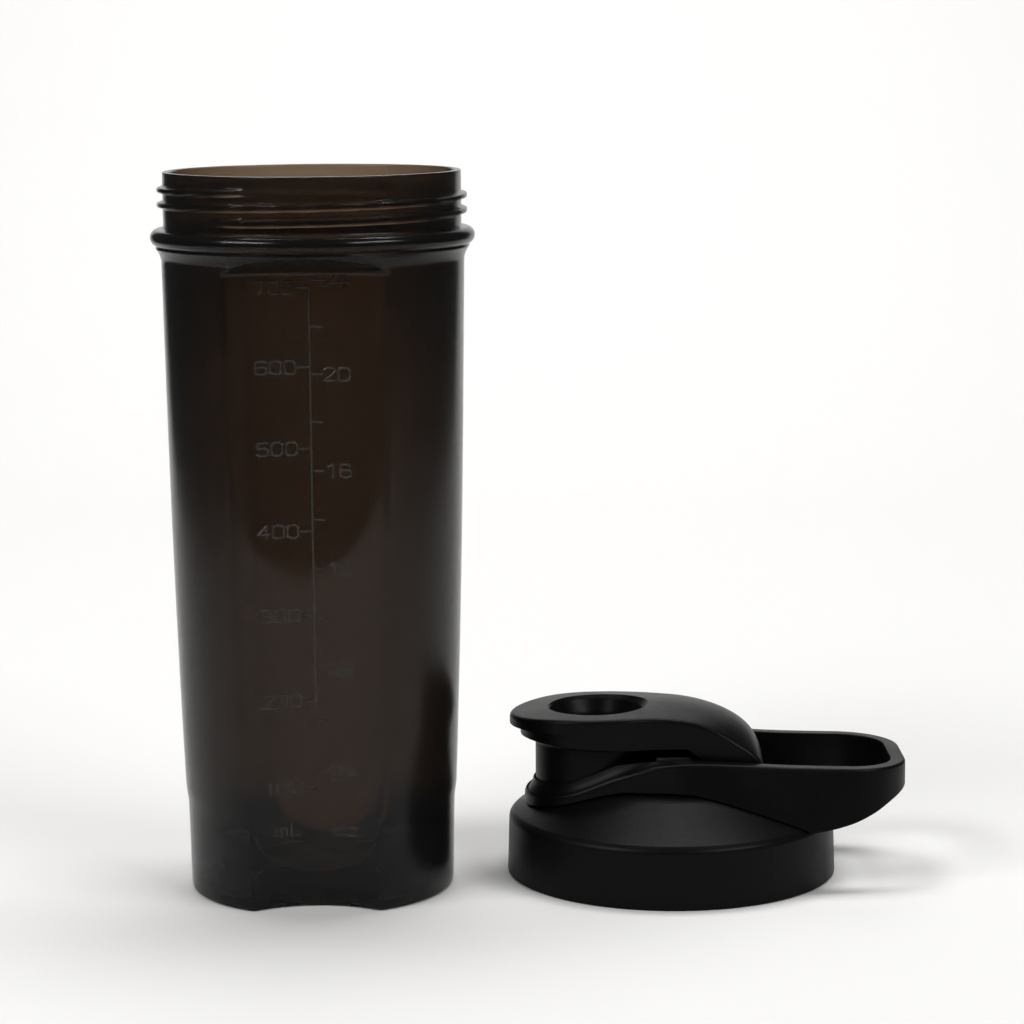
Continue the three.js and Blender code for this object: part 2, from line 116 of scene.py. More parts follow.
LOOP_HALF = 25
LOOP_WALL = 4.2
LOOP_END = 66.7
LOOP_CORNER = 17
LOOP_COLLAR = 20.7
COLLAR_TURN = 105                # degrees from the loop's middle line at which the wall leaves the collar
LOOP_FLARE = 4
LOOP_RAMP = 3.8
LOOP_TOP = [(-43, 23.4), (-30, 25.6), (-15.5, 31.6), (-4.2, 35.4), (7, 36.3), (35, 35), (67, 34.2)]
LOOP_UNDER = [(28, 14), (34, 16.8), (40, 17), (49, 19), (56.4, 21.8), (61, 24.1), (67, 27)]

HINGE_X = 20.4
HINGE_Z = 33.4
PIN = 1.25
PIN_REACH = 23.4
BARREL = 5.2
BARREL_HALF = 20.2
CAP_NOSE = 24.9                  # reach of the cap's ledge and of its skirt in front of the spout's axis
CAP_RIM = 21.8
CAP_LEDGE = 43.6
CAP_UNDER = 42.8
CAP_WALL = 2.4
CAP_EDGE = 1.1                   # rounding of the cap's top edge
CAP_HALF = [
    (-21.6, 20.9), (-14, 20.3), (-6, 18.9), (0, 18.6),
    (6, 18.8), (14, 19.7), (20, 20.2), (27, 20.2),
]
CAP_CREST = [(-46.5, 46.5), (-34, 48.1), (-21, 48.7), (-8, 49.1), (2, 49.1)]
CAP_FALL = [
    (-46.5, 0.5), (-21, 0.6), (-8, 1.1), (0, 1.8), (6, 2.6),
    (11, 3.4), (15, 4), (19, 4.3), (26, 3),
]
CAP_REAR = 15.7                  # height of the crest above the hinge
CAP_FRONT_BOTTOM = 40.6
CAP_BOTTOM = 39.2
ARM_END = 4                      # where the barrel begins
PLUG_BOTTOM = 36.2
PLUG_FLANGE = 12.6               # radius of the rim that holds the seal
PLUG_WAIST = 11.9
RECESS_FLOOR = 39

GRID_OUTER = 38.2
GRID_BOTTOM = 8.6
GRID_PLATE = 1.8
GRID_ROWS = [(6, 14, 6), (16, 24, 10), (26, 34, 16)]


# ---------------------------------------------------------------- mesh helpers
def smooth_step(t):
    t = np.clip(t, 0, 1)
    return t * t * (3 - 2 * t)


def smooth_min(a, b, k):
    h = np.clip(0.5 + 0.5 * (b - a) / k, 0, 1)
    return b * (1 - h) + a * h - k * h * (1 - h)


def line_at(points, x):
    """Value at x on a smooth line through (x, value) points, flat outside them."""
    xs = np.array([p[0] for p in points], float)
    vs = np.array([p[1] for p in points], float)
    slopes = np.empty(len(xs))
    slopes[1:-1] = (vs[2:] - vs[:-2]) / (xs[2:] - xs[:-2])
    slopes[0] = (vs[1] - vs[0]) / (xs[1] - xs[0])
    slopes[-1] = (vs[-1] - vs[-2]) / (xs[-1] - xs[-2])
    x = np.clip(np.asarray(x, float), xs[0], xs[-1])
    i = np.clip(np.searchsorted(xs, x, side="right") - 1, 0, len(xs) - 2)
    width = xs[i + 1] - xs[i]
    t = (x - xs[i]) / width
    rise = t * t * (3 - 2 * t)
    start = t * (1 - t) ** 2 * width * slopes[i]
    end = -t * t * (1 - t) * width * slopes[i + 1]
    return vs[i] * (1 - rise) + vs[i + 1] * rise + start + end


def rounded(points, step=8):
    """A polyline of (a, b) or (a, b, radius) points, with an arc of that radius at each such corner."""
    out = []
    for i, point in enumerate(points):
        radius = point[2] if len(point) > 2 else 0
        here = np.array(point[:2], float)
        if not radius or i in (0, len(points) - 1):
            out.append(here)
            continue
        back = np.array(points[i - 1][:2], float) - here
        ahead = np.array(points[i + 1][:2], float) - here
        back_length, ahead_length = np.linalg.norm(back), np.linalg.norm(ahead)
        back, ahead = back / back_length, ahead / ahead_length
        half = math.acos(np.clip(back @ ahead, -1, 1)) / 2
        reach = min(radius / math.tan(half), 0.48 * back_length, 0.48 * ahead_length)
        radius = reach * math.tan(half)
        middle = (back + ahead) / np.linalg.norm(back + ahead)
        centre = here + middle * radius / math.sin(half)
        first = here + back * reach - centre
        last = here + ahead * reach - centre
        sweep = math.pi - 2 * half
        count = max(2, int(math.degrees(sweep) / step))
        for k in range(count + 1):
            t = k / count
            way = (math.sin((1 - t) * sweep) * first + math.sin(t * sweep) * last) / math.sin(sweep)
            out.append(centre + way)
    return out


def new_object(name, vertices, faces, origin=Vector((0, 0, 0))):
    """A mesh object from millimetre vertices about origin, which is in metres, with its faces outwards."""
    mesh = bpy.data.meshes.new(name)
    placed = np.asarray(vertices, float) * MM + np.array(origin)
    mesh.from_pydata(placed.tolist(), [], faces)
    work = bmesh.new()
    work.from_mesh(mesh)
    bmesh.ops.recalc_face_normals(work, faces=work.faces)
    work.to_mesh(mesh)
    work.free()
    made = bpy.data.objects.new(name, mesh)
    bpy.context.scene.collection.objects.link(made)
    return made


def strips(rings, count, closed):
    """Quads between neighbouring rings of count points each."""
    faces = []
    for i in range(rings if closed else rings - 1):
        j = (i + 1) % rings
        for k in range(count):
            n = (k + 1) % count
            faces.append((i * count + k, i * count + n, j * count + n, j * count + k))
    return faces


def even_angles(columns):
    return np.arange(columns) * 2 * math.pi / columns


def turned_shell(name, rows, columns, origin, angle_of=None):
    """A closed skin of revolution from (radius, z) rows, each a number or one value for each column.
    The first and last rows are single points on the axis."""
    base = even_angles(columns)
    vertices = [(0, 0, float(rows[0][1]))]
    for radius, z in rows[1:-1]:
        angle = base if angle_of is None else angle_of(base, np.mean(z))
        radius = np.broadcast_to(radius, columns)
        z = np.broadcast_to(z, columns)
        vertices += np.stack([radius * np.sin(angle), -radius * np.cos(angle), z], 1).tolist()
    vertices.append((0, 0, float(rows[-1][1])))
    rings = len(rows) - 2
    faces = [tuple(1 + i for i in face) for face in strips(rings, columns, False)]
    last = len(vertices) - 1
    for k in range(columns):
        n = (k + 1) % columns
        faces.append((0, 1 + n, 1 + k))
        faces.append((last, last - columns + k, last - columns + n))
    return new_object(name, vertices, faces, origin)


def turned_ring(name, profile, columns, origin):
    """A ring of revolution from a closed (radius, z) outline."""
    angle = even_angles(columns)
    vertices = []
    for radius, z in profile:
        ring = np.stack([radius * np.sin(angle), -radius * np.cos(angle), np.full(columns, z)], 1)
        vertices += ring.tolist()
    return new_object(name, vertices, strips(len(profile), columns, True), origin)


def loft(name, rings, origin, closed=False):
    """A solid through equal rings of points, with flat ends unless it closes on itself."""
    count = len(rings[0])
    vertices = [point for ring in rings for point in ring]
    faces = strips(len(rings), count, closed)
    if not closed:
        faces.append(tuple(range(count)))
        faces.append(tuple(range(len(vertices) - 1, len(vertices) - 1 - count, -1)))
    return new_object(name, vertices, faces, origin)


def apply_modifiers(piece):
    bpy.context.view_layer.update()
    evaluated = piece.evaluated_get(bpy.context.evaluated_depsgraph_get())
    mesh = bpy.data.meshes.new_from_object(evaluated)
    piece.modifiers.clear()
    piece.data = mesh
    return piece


def combine(target, tool, operation):
    """Joins (UNION) or cuts (DIFFERENCE, INTERSECT) target with tool, and removes the tool."""
    modifier = target.modifiers.new("join", "BOOLEAN")
    modifier.operation = operation
    modifier.solver = "MANIFOLD"
    modifier.object = tool
    apply_modifiers(target)
    bpy.data.objects.remove(tool)
    return target


def soften(piece, degrees=32):
    """Smooth shading with sharp edges kept above that angle."""
    mesh = piece.data
    mesh.polygons.foreach_set("use_smooth", np.ones(len(mesh.polygons), bool))
    mesh.set_sharp_from_angle(angle=math.radians(degrees))
    modifier = piece.modifiers.new("even_shading", "WEIGHTED_NORMAL")
    modifier.keep_sharp = True
    modifier.weight = 80
    return apply_modifiers(piece)


def finish_piece(piece, body, slot, material, *nodes):
    """Gives the piece its material and body, and hides the CAD nodes that it stands for; slot is not used.
    """
    piece.data.materials.clear()
    piece.data.materials.append(material)
    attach(piece, body)
    if nodes:
        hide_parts(*nodes)
    return piece


# ---------------------------------------------------------------- cup
def panel_section(z):
    """Radius of a grip panel's face at that height, and its centre's distance from the cup's axis."""
    t = min(max(z, 0), PANEL_TOP) / PANEL_TOP
    radius = PANEL_RADIUS[0] + (PANEL_RADIUS[1] - PANEL_RADIUS[0]) * t
    axis = PANEL_AXIS[0] + (PANEL_AXIS[1] - PANEL_AXIS[0]) * t
    return radius, axis


def panel_edge_angle(z):
    """Angle from the front at which a grip panel meets the round body."""
    radius, axis = panel_section(z)
    body = float(line_at(BODY_LINE, min(max(z, 0), PANEL_TOP)))
    return math.acos((axis**2 + body**2 - radius**2) / (2 * axis * body))


def cup_angles(base, z):
    """Column angles, with one column on each edge of the panels all the way up."""
    knot = math.radians(30)
    edge = panel_edge_angle(z)
    side = np.round(base / math.pi) * math.pi
    away = base - side
    size = np.abs(away)
    inside = size * edge / knot
    outside = edge + (size - knot) * (math.pi / 2 - edge) / (math.pi / 2 - knot)
    return side + np.sign(away) * np.where(size < knot, inside, outside)


def panel_distance(angle, z, grow, lift):
    """Distance from the cup's axis to the panel's face in that direction; very far where there is none."""
    level = z - lift
    radius, axis = panel_section(level)
    radius += grow
    run = max(0, (level - PANEL_TOP) / (PANEL_RUN_OUT - PANEL_TOP))
    axis += PANEL_RETREAT * run**2
    away = angle - np.round(angle / math.pi) * math.pi
    reach = radius**2 - (axis * np.sin(away)) ** 2
    return np.where(reach > 0, axis * np.cos(away) - np.sqrt(np.maximum(reach, 0)), 1e3)


def thread_height(angle, z, crest, turns, start, start_angle):
    """Height of a right-handed screw ridge on the wall at that angle from the front."""
    best = np.zeros_like(angle)
    for lap in range(3):
        turn = np.mod(angle - math.radians(start_angle), 2 * math.pi) / (2 * math.pi) + lap
        rise = smooth_step((RIDGE_HALF - np.abs(z - start - PITCH * turn)) / RIDGE_FLANK)
        fade = smooth_step(np.minimum(turn, turns - turn) / 0.05)
        best = np.maximum(best, crest * rise * fade)
    return best


def cup_outer_rows(columns):
    """Rows of the outside, from the middle of the base up over the bead and the thread to the rim."""
    base = even_angles(columns)
    rows = [(0, BASE_RECESS_DEPTH)]
    foot = rounded([
        (2, BASE_RECESS_DEPTH),
        (BASE_RECESS_RADIUS - 1.2, BASE_RECESS_DEPTH, 1.0),
        (BASE_RECESS_RADIUS, 0, 0.6),
        (BASE_RECESS_RADIUS + 3, 0),
    ])
    rows += [tuple(point) for point in foot]
    heights = [BASE_EDGE * (1 - math.cos(math.radians(a))) for a in range(0, 91, 15)]
    heights += [3, 7, 12, 18, 23, 24.5, *np.arange(25.5, 30.6, 0.5), 32, 36]
    heights += [*np.arange(42, 172, 5), *np.arange(172, 182.2, 0.3)]
    for z in heights:
        angle = cup_angles(base, z)
        edge = BASE_EDGE * (1 - math.sqrt(1 - (1 - min(z, BASE_EDGE) / BASE_EDGE) ** 2))
        body = line_at(BODY_LINE, z) - edge
        if z > FLARE_START:
            body = body + FLARE_REACH * ((z - FLARE_START) / FLARE_HEIGHT) ** 2
        rows.append((smooth_min(body, panel_distance(angle, z, edge, 0), PANEL_BLEND), z))
    middle = (BEAD_BOTTOM + BEAD_TOP) / 2
    round_ = (BEAD_TOP - BEAD_BOTTOM) / 2
    for degrees in range(-72, 76, 9):
        a = math.radians(degrees)
        rows.append((BEAD_RADIUS - round_ + round_ * math.cos(a), middle + round_ * math.sin(a)))
    rows.append((NECK_OUTER + 0.5, BEAD_TOP + 0.05))
    rows.append((NECK_OUTER + 0.12, BEAD_TOP + 0.25))
    for z in np.arange(BEAD_TOP + 0.6, CUP_HEIGHT - 0.9, 0.17):
        angle = cup_angles(base, z)
        ridge = thread_height(angle, z, *CUP_THREAD)
        rows.append((NECK_OUTER + ridge, z))
    rim = [(NECK_OUTER, CUP_HEIGHT - 0.8), (NECK_OUTER, CUP_HEIGHT, RIM_ROUND)]
    rim += [(NECK_INNER, CUP_HEIGHT, RIM_ROUND), (NECK_INNER, CUP_HEIGHT - 2)]
    rows += [tuple(point) for point in rounded(rim, 15)]
    return rows


def cup_inner_rows(columns):
    """Rows of the inside, from the rim down to the middle of the floor."""
    base = even_angles(columns)
    wall_foot = float(line_at(BODY_LINE, 25)) - CUP_WALL
    rows = []
    levels = [198, 193, 189, *np.arange(187, 174, -0.4), *np.arange(172, 40, -5), 36, 32, 28]
    floor = []
    for degrees in range(0, 91, 5):
        a = math.radians(degrees)
        radius = wall_foot - FLOOR_FILLET + FLOOR_FILLET * math.cos(a)
        floor.append((radius, CUP_FLOOR + FLOOR_FILLET * (1 - math.sin(a))))
    for z in levels:
        angle = cup_angles(base, z)
        wall = line_at([*BODY_LINE[2:-1], (BEAD_TOP, NECK_INNER + CUP_WALL)], z) - CUP_WALL
        wall = min(float(wall), NECK_INNER) if z > 150 else float(wall)
        panel = panel_distance(angle, z, CUP_WALL, INNER_LIFT)
        rows.append((smooth_min(wall, panel, INNER_BLEND), z))
    for radius, z in floor:
        angle = cup_angles(base, z)
        panel = panel_distance(angle, z, CUP_WALL, INNER_LIFT)
        rows.append((smooth_min(radius, panel, INNER_BLEND), z))
    rows += [(8, CUP_FLOOR), (0, CUP_FLOOR)]
    return rows


def make_cup(material):
    columns = 360
    rows = cup_outer_rows(columns) + cup_inner_rows(columns)
    cup = turned_shell("cup_shell", rows, columns, CUP, cup_angles)
    soften(cup, 40)
    return finish_piece(cup, "cup", "cup_plastic", material, "cup_body")


# ---------------------------------------------------------------- raised scale on the front panel
# Each figure is a set of strokes on a grid 2 wide and 4 high.
STROKES = {
    "0": [[(0, 0.5), (0, 3.5), (0.5, 4), (1.5, 4), (2, 3.5), (2, 0.5), (1.5, 0), (0.5, 0), (0, 0.5)]],
    "1": [[(0.6, 3.3), (1.3, 4), (1.3, 0)]],
    "2": [[(0, 3.4), (0.5, 4), (1.5, 4), (2, 3.4), (2, 2.7), (0, 0), (2, 0)]],
    "3": [
        [(0, 3.5), (0.5, 4), (1.5, 4), (2, 3.5), (2, 2.6), (1.5, 2.1), (0.8, 2.1)],
        [(1.5, 2.1), (2, 1.6), (2, 0.5), (1.5, 0), (0.5, 0), (0, 0.5)],
    ],
    "4": [[(1.5, 0), (1.5, 4), (0, 1.3), (2.1, 1.3)]],
    "5": [[(1.9, 4), (0.2, 4), (0.1, 2.3), (1.4, 2.4), (2, 1.9), (2, 0.5), (1.5, 0), (0.5, 0), (0, 0.4)]],
    "6": [
        [(1.9, 3.6), (1.5, 4), (0.5, 4), (0, 3.5), (0, 0.5), (0.5, 0), (1.5, 0), (2, 0.5), (2, 1.7)],
        [(2, 1.7), (1.5, 2.2), (0.5, 2.2), (0, 1.8)],
    ],
    "7": [[(0, 4), (2, 4), (0.8, 0)]],
    "8": [
        [(0.5, 2.1), (0, 2.6), (0, 3.5), (0.5, 4), (1.5, 4), (2, 3.5), (2, 2.6), (1.5, 2.1), (0.5, 2.1)],
        [(0.5, 2.1), (0, 1.6), (0, 0.5), (0.5, 0), (1.5, 0), (2, 0.5), (2, 1.6), (1.5, 2.1)],
    ],
    "m": [
        [(0, 0), (0, 2.6)],
        [(0, 2.2), (0.6, 2.6), (1, 2.2), (1, 0)],
        [(1, 2.2), (1.6, 2.6), (2, 2.2), (2, 0)],
    ],
    "L": [[(0.2, 4), (0.2, 0), (1.8, 0)]],
    "o": [[(0, 0.5), (0, 2.1), (0.5, 2.6), (1.5, 2.6), (2, 2.1), (2, 0.5), (1.5, 0), (0.5, 0), (0, 0.5)]],
    "z": [[(0.1, 2.6), (1.9, 2.6), (0.1, 0), (1.9, 0)]],
}
FIGURE_WIDTH = 2.9
FIGURE_HEIGHT = 3.5
FIGURE_GAP = 1.0
STROKE_SECTION = [(-0.34, -0.05), (-0.25, 0.12), (-0.1, 0.22), (0.1, 0.22), (0.25, 0.12), (0.34, -0.05)]
OUNCE = 29.57
SCALE_X = 0.45                   # the scale's upright line, from the middle of the panel
LINE_FOOT = 190                  # volume at which that line ends
TICK = 3.25
TICK_GAP = 0.5                   # from the line to a tick
FIGURE_SPACE = 0.7               # from a tick to its figures
UNIT_DROP = 13.5                 # from the 100 ml mark down to the units


def mark_height(millilitres):
    """Height on the cup of the mark for that volume: the cup widens upwards, so the marks draw together."""
    return 8.95 + 0.2544 * millilitres - 2.889e-5 * millilitres**2


def panel_point(x, z, out):
    """A point on the front panel's face, raised from it by out."""
    radius, axis = panel_section(z)
    across = x * (radius - out) / radius
    return (across, -axis + math.sqrt((radius - out) ** 2 - across**2), z)


def stroke_rings(start, end):
    """Rings of a raised bar with sloping sides between two (x, z) points on the panel."""
    start, end = np.array(start), np.array(end)
    along = (end - start) / np.linalg.norm(end - start)
    across = np.array([-along[1], along[0]])
    steps = max(1, int(np.linalg.norm(end - start) / 4))
    rings = []
    cap = STROKE_SECTION[-1][0]
    for k in range(steps + 1):
        here = start - along * cap + (end - start + 2 * along * cap) * k / steps
        rings.append([panel_point(*(here + across * a), out) for a, out in STROKE_SECTION])
    return rings


def figure_strokes(text, x, z):
    """Strokes of a line of figures whose lower left corner is at (x, z)."""
    strokes = []
    for character in text:
        for line in STROKES[character]:
            points = [(x + a * FIGURE_WIDTH / 2, z + b * FIGURE_HEIGHT / 4) for a, b in line]
            strokes += list(zip(points, points[1:]))
        x += FIGURE_WIDTH + FIGURE_GAP
    return strokes


def scale_strokes():
    """Strokes of the upright line, of the ticks and figures on both sides of it, and of the two units."""
    strokes = [((SCALE_X, mark_height(LINE_FOOT)), (SCALE_X, mark_height(700)))]
    left = SCALE_X - TICK
    right = SCALE_X + TICK
    ml_width = 3 * FIGURE_WIDTH + 2 * FIGURE_GAP
    for volume in range(100, 800, 100):
        z = mark_height(volume)
        strokes.append(((left, z), (SCALE_X - TICK_GAP, z)))
        strokes += figure_strokes(str(volume), left - FIGURE_SPACE - ml_width, z - FIGURE_HEIGHT / 2)
    for ounces in range(4, 26, 2):
        z = mark_height(ounces * OUNCE)
        strokes.append(((SCALE_X + TICK_GAP, z), (right, z)))
        if ounces % 4 == 0:
            strokes += figure_strokes(f"{ounces:02d}", right + FIGURE_SPACE, z - FIGURE_HEIGHT / 2)
    units = mark_height(100) - UNIT_DROP
    strokes += figure_strokes("mL", -11, units)
    strokes += figure_strokes("oz", 5, units)
    return strokes


def make_scale(material):
    """The scale as one mesh of raised strokes, each a closed bar on the panel's face."""
    vertices, faces = [], []
    count = len(STROKE_SECTION)
    for start, end in scale_strokes():
        rings = stroke_rings(start, end)
        first = len(vertices)
        vertices += [point for ring in rings for point in ring]
        faces += [tuple(first + i for i in face) for face in strips(len(rings), count, False)]
        faces.append(tuple(range(first, first + count)))
        faces.append(tuple(range(len(vertices) - 1, len(vertices) - 1 - count, -1)))
    marks = soften(new_object("raised_scale", vertices, faces, CUP), 60)
    return finish_piece(marks, "cup", "cup_plastic", material)


# ---------------------------------------------------------------- lid
def dome_height(radius):
    """Height of the lid's upper face at that distance from its axis."""
    slope = DOME_CORNER[1] + DOME_SLOPE * (DOME_CORNER[0] - radius)
    return np.minimum(slope, DOME_FLAT[1])


def lid_rows(columns):
    """Rows of the lid's skin, from the middle of its inside, round the foot of the skirt, to the top."""
    angle = even_angles(columns)
    under = float(dome_height(RIB_INNER)) - DOME_WALL * 1.1
    inside = rounded([
        (2, DOME_FLAT[1] - DOME_WALL),
        (DOME_FLAT[0] - 1, DOME_FLAT[1] - DOME_WALL, 6),
        (RIB_INNER, under, 1),
        (RIB_INNER, RIB_BOTTOM, 0.4),
        (RIB_OUTER, RIB_BOTTOM, 0.4),
        (RIB_OUTER, SKIRT_ROOF, 0.5),
        (SKIRT_INNER, SKIRT_ROOF, 0.8),
        (SKIRT_INNER, 14.6),
    ])
    rows = [(0, DOME_FLAT[1] - DOME_WALL)] + [tuple(point) for point in inside]
    for z in np.arange(14.2, 1.4, -0.25):
        ridge = thread_height(angle, z, *LID_THREAD)
        rows.append((SKIRT_INNER - ridge, z))
    outside = rounded([
        (SKIRT_INNER, 1.2),
        (SKIRT_INNER, 0, 0.5),
        (SKIRT_FOOT, 0, 0.7),
        (*SKIRT_TOP, 2.4),
        (*DOME_CORNER, 2.4),
        (*DOME_FLAT, 12),
        (2, DOME_FLAT[1]),
    ], 5)
    return rows + [tuple(point) for point in outside] + [(0, DOME_FLAT[1])]


def make_lid(material):
    lid = turned_shell("lid_shell", lid_rows(300), 300, LID)
    spout = LID + Vector((SPOUT_X, 0, 0)) * MM
    neck = rounded([
        (1, SPOUT_FOOT),
        (SPOUT_NECK, SPOUT_FOOT, 0.4),
        (SPOUT_NECK, SPOUT_NECK_TOP, 1.5),
        (SPOUT_LIP, SPOUT_LIP_BOTTOM, 0.5),
        (SPOUT_LIP, SPOUT_TOP, 0.8),
        (1, SPOUT_TOP),
    ])
    below = SPOUT_FOOT - 0.5
    above = SPOUT_TOP + 0.8
    bore = rounded([
        (1, below),
        (SPOUT_BORE, below),
        (SPOUT_BORE, SPOUT_TOP - 1, 1),
        (SPOUT_BORE + 1.6, above),
        (1, above),
    ])
    neck = turned_shell("neck", [(0, SPOUT_FOOT), *map(tuple, neck), (0, SPOUT_TOP)], 144, spout)
    bore = turned_shell("bore", [(0, below), *map(tuple, bore), (0, above)], 144, spout)
    combine(lid, neck, "UNION")
    combine(lid, bore, "DIFFERENCE")
    soften(lid)
    return finish_piece(lid, "lid", "lid_plastic", material, "lid_body", "pour_spout")


# ---------------------------------------------------------------- carrying loop
def arc(centre_x, centre_y, radius, first, last, count):
    """Points of an arc between two angles in degrees, without the last one."""
    points = []
    for k in range(count):
        a = math.radians(first + (last - first) * k / count)
        points.append((centre_x + radius * math.cos(a), centre_y + radius * math.sin(a)))
    return points


def bezier(a, b, c, d, count):
    points = []
    for k in range(count):
        t = k / count
        weights = ((1 - t) ** 3, 3 * t * (1 - t) ** 2, 3 * t**2 * (1 - t), t**3)
        points.append(tuple(sum(w * p[i] for w, p in zip(weights, (a, b, c, d))) for i in (0, 1)))
    return points


def even_points(points, count):
    """The same number of points at even distances along a closed line."""
    line = np.array([*points, points[0]], float)
    length = np.concatenate([[0], np.cumsum(np.linalg.norm(np.diff(line, axis=0), axis=1))])
    at = np.arange(count) * length[-1] / count
    return np.stack([np.interp(at, length, line[:, i]) for i in (0, 1)], 1)


def loop_outline(inset, collar, count):
    """Plan of the loop's wall: round the far end, along both sides and round the spout."""
    half = LOOP_HALF - inset
    corner = LOOP_CORNER - inset
    centre_x = LOOP_END - LOOP_CORNER
    centre_y = LOOP_HALF - LOOP_CORNER
    turn = math.radians(COLLAR_TURN)
    join = (SPOUT_X + collar * math.cos(turn), collar * math.sin(turn))
    lead = (join[0] + 9 * math.sin(turn), join[1] - 9 * math.cos(turn))
    upper = [(LOOP_END - inset, 0)]
    upper += arc(centre_x, centre_y, corner, 0, 90, 30)
    upper += [(centre_x, half), (2, half)]
    upper += bezier((2, half), (-8, half), lead, join, 24)[1:]
    upper += arc(SPOUT_X, 0, collar, COLLAR_TURN, 180, 30)
    upper += [(SPOUT_X - collar, 0)]
    lower = [(x, -y) for x, y in upper[-2:0:-1]]
    return even_points(upper + lower, count)


def loop_section(outer, inner):
    """The wall's section at one place: four corners, rounded, with a hollow ramp up to the neck."""
    flare = 1 + (LOOP_FLARE / LOOP_HALF) * max(0, 1 - ((outer[0] - 30) / 32) ** 2)
    ramp = LOOP_RAMP * min(max(-inner[0] / 16, 0), 1)
    top = float(line_at(LOOP_TOP, outer[0]))
    feet = []
    for x, y in ((outer[0], outer[1] * flare), inner):
        radius = math.hypot(x, y)
        under = float(line_at(LOOP_UNDER, x))
        over_lid = float(dome_height(radius)) + GAP + 0.1
        feet.append(max(under, over_lid) if radius < SKIRT_TOP[0] + 0.6 else max(under, 16.8))
    corners = [
        (np.array([outer[0], outer[1] * flare, feet[0]]), 0.5),
        (np.array([outer[0], outer[1], top]), 0.9),
        (np.array([inner[0], inner[1], float(line_at(LOOP_TOP, inner[0])) + ramp]), 0.5),
        (np.array([inner[0], inner[1], feet[1]]), 0.5),
    ]
    ring = []
    for i, (corner, size) in enumerate(corners):
        back = corners[i - 1][0] - corner
        ahead = corners[(i + 1) % 4][0] - corner
        first = corner + back * size / np.linalg.norm(back)
        last = corner + ahead * size / np.linalg.norm(ahead)
        for k in range(6):
            t = k / 5
            ring.append((1 - t) ** 2 * first + 2 * t * (1 - t) * corner + t**2 * last)
        if i == 1:
            rise = corners[2][0] - corner
            for k in range(1, 5):
                t = k / 5
                point = corner + rise * t
                point[2] -= ramp * (t - t**2)
                ring.append(point)
    return ring


def pin_rod(name, radius, half):
    """A rod along the hinge axis with slightly rounded ends."""
    columns = 48
    rings = []
    for y, size in ((-half, 0.82), (-half + 0.25, 1), (half - 0.25, 1), (half, 0.82)):
        ring = []
        for k in range(columns):
            a = 2 * math.pi * k / columns
            ring.append((HINGE_X + radius * size * math.cos(a), y, HINGE_Z + radius * size * math.sin(a)))
        rings.append(ring)
    return loft(name, rings, LID)


def make_loop(material):
    outside = loop_outline(0, LOOP_COLLAR, 320)
    inside = loop_outline(LOOP_WALL, SPOUT_NECK + GAP + 0.1, 320)
    rings = [loop_section(o, n) for o, n in zip(outside, inside)]
    loop = loft("loop_wall", rings, LID, closed=True)
    combine(loop, pin_rod("pin_hole", PIN + GAP, PIN_REACH + GAP), "DIFFERENCE")
    soften(loop, 36)
    return finish_piece(loop, "lid", "loop_plastic", material, "carry_loop")


# ---------------------------------------------------------------- flip cap
def cap_outline(nose):
    """Plan of the cap: an elliptical nose over the spout, then the arm, which widens again at the barrel."""
    rear = HINGE_X + BARREL + 1
    side = [(SPOUT_X - nose, 0)]
    for degrees in range(2, 90, 2):
        a = math.radians(degrees)
        side.append((SPOUT_X - nose * math.cos(a), -CAP_HALF[0][1] * math.sin(a)))
    corner = 1.8
    for x in np.arange(SPOUT_X, rear - corner, 1.0):
        side.append((x, -float(line_at(CAP_HALF, x))))
    side += arc(rear - corner, corner - CAP_HALF[-1][1], corner, -90, 0, 10)
    side.append((rear, corner - CAP_HALF[-1][1]))
    far = [(x, -y) for x, y in side[:0:-1]]
    return even_points(side + far, 420)


def cap_top(x, y):
    """Height of the cap's upper face: nearly level over the spout, then falling behind the barrel."""
    x = np.asarray(x, float)
    y = np.asarray(y, float)
    start = CAP_CREST[-1][0]
    reach = HINGE_X + BARREL - start + 0.4
    curve = np.sqrt(np.clip(1 - (np.maximum(x - start, 0) / reach) ** 2, 0, 1))
    crest = np.where(x <= start, line_at(CAP_CREST, x), HINGE_Z + CAP_REAR * curve)
    return crest - line_at(CAP_FALL, x) * (y / BARREL_HALF) ** 2


